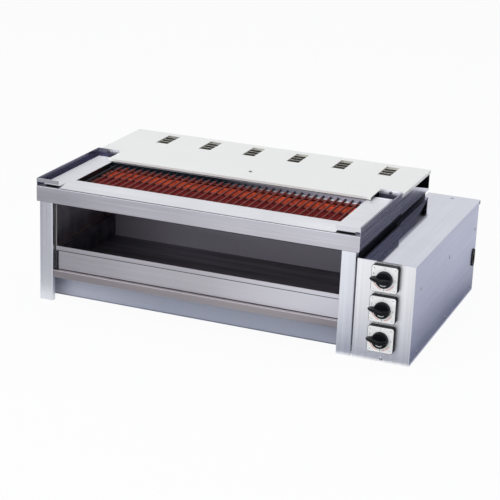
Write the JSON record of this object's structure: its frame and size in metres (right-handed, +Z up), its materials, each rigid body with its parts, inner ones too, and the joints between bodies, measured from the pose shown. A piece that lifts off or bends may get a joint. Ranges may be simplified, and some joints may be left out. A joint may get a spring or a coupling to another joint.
{
  "type": "electric fish roaster",
  "caption": "Table-top electric fish roaster: folded steel body with a heated pit under a lift-off grate, a drip drawer, a vented hood plate and a side control box with rotary switches.",
  "frame": {"origin": "under the middle of the whole roaster's bounding box, on the surface it stands on", "axes": "+X along the front towards the control box, +Y from the front to the back, +Z up"},
  "size_m": [0.9202, 0.6, 0.296],
  "materials": {
    "stainless": "brushed",
    "white_enamel": "satin",
    "polished_lid": "semi-gloss",
    "grate_wire": "heat-dulled",
    "heating_tube": "matt, red hot",
    "ceramic": "glazed ceramic",
    "plated_screw": "zinc plated",
    "copper": "bare",
    "black_rubber": "matt",
    "black_plastic": "satin",
    "white_plate": "painted white",
    "grey_plastic": "matt",
    "lead_sleeve": "woven glass sleeve"
  },
  "bodies": {
    "roaster_body": {"left_side_panel": "stainless", "right_side_panel": "stainless", "front_posts": "stainless", "front_apron": "stainless", "bottom_rail": "stainless", "kick_plate": "stainless", "base_plate": "stainless", "rear_panel": "stainless", "left_end_tray": "stainless", "right_end_tray": "stainless", "rear_cheeks": "stainless", "grill_frame": "white_enamel", "pit_lining": "stainless", "terminal_shelves": "stainless", "grate_rails": "stainless", "front_heaters": "heating_tube", "middle_heaters": "heating_tube", "rear_heaters": "heating_tube", "heater_bushings": "ceramic", "heater_studs": "plated_screw", "star_straps": "copper", "heater_brackets": "stainless", "hood_plate": "white_enamel", "hood_louvres": "stainless", "hood_back": "stainless", "hood_bracket": "stainless", "hood_screws": "plated_screw", "chamber_walls": "stainless", "chamber_bulkhead": "stainless", "drawer_runners": "stainless", "control_front": "stainless", "control_side": "stainless", "control_inner_wall": "stainless", "control_back": "stainless", "control_base": "stainless", "control_lid": "polished_lid", "lid_bracket": "stainless", "mounting_rail": "stainless", "terminal_block": "black_plastic", "earth_stud": "plated_screw", "cable_gland": "black_rubber", "control_screws": "plated_screw", "switch_bezels": "black_plastic", "dial_plates": "white_plate", "cam_switches": "grey_plastic", "heater_looms": "lead_sleeve", "supply_looms": "lead_sleeve", "wire_bushes": "black_rubber", "joining_spacers": "plated_screw", "joining_bolts": "plated_screw"},
    "drawer": {"drip_pan": "stainless", "drawer_front": "stainless"},
    "grate": {"grill_grate": "grate_wire"},
    "upper_control": {"upper_knob": "black_plastic", "upper_shaft": "plated_screw"},
    "middle_control": {"middle_knob": "black_plastic", "middle_shaft": "plated_screw"},
    "lower_control": {"lower_knob": "black_plastic", "lower_shaft": "plated_screw"}
  },
  "joints": [
    {"name": "drawer_slide", "type": "slide", "parent": "roaster_body", "child": "drawer", "axis": [0, -1, 0], "range_m": [0, 0.25]},
    {"name": "grate_lift", "type": "slide", "parent": "roaster_body", "child": "grate", "axis": [0, 0, 1], "range_m": [0, 0.12]},
    {"name": "upper_switch_turn", "type": "hinge", "parent": "roaster_body", "child": "upper_control", "pos_m": [0.3931, -0.282, 0.196], "axis": [0, 1, 0], "range_deg": [0, 270]},
    {"name": "middle_switch_turn", "type": "hinge", "parent": "roaster_body", "child": "middle_control", "pos_m": [0.3931, -0.282, 0.1266], "axis": [0, 1, 0], "range_deg": [0, 270]},
    {"name": "lower_switch_turn", "type": "hinge", "parent": "roaster_body", "child": "lower_control", "pos_m": [0.3931, -0.282, 0.0572], "axis": [0, 1, 0], "range_deg": [0, 270]}
  ]
}
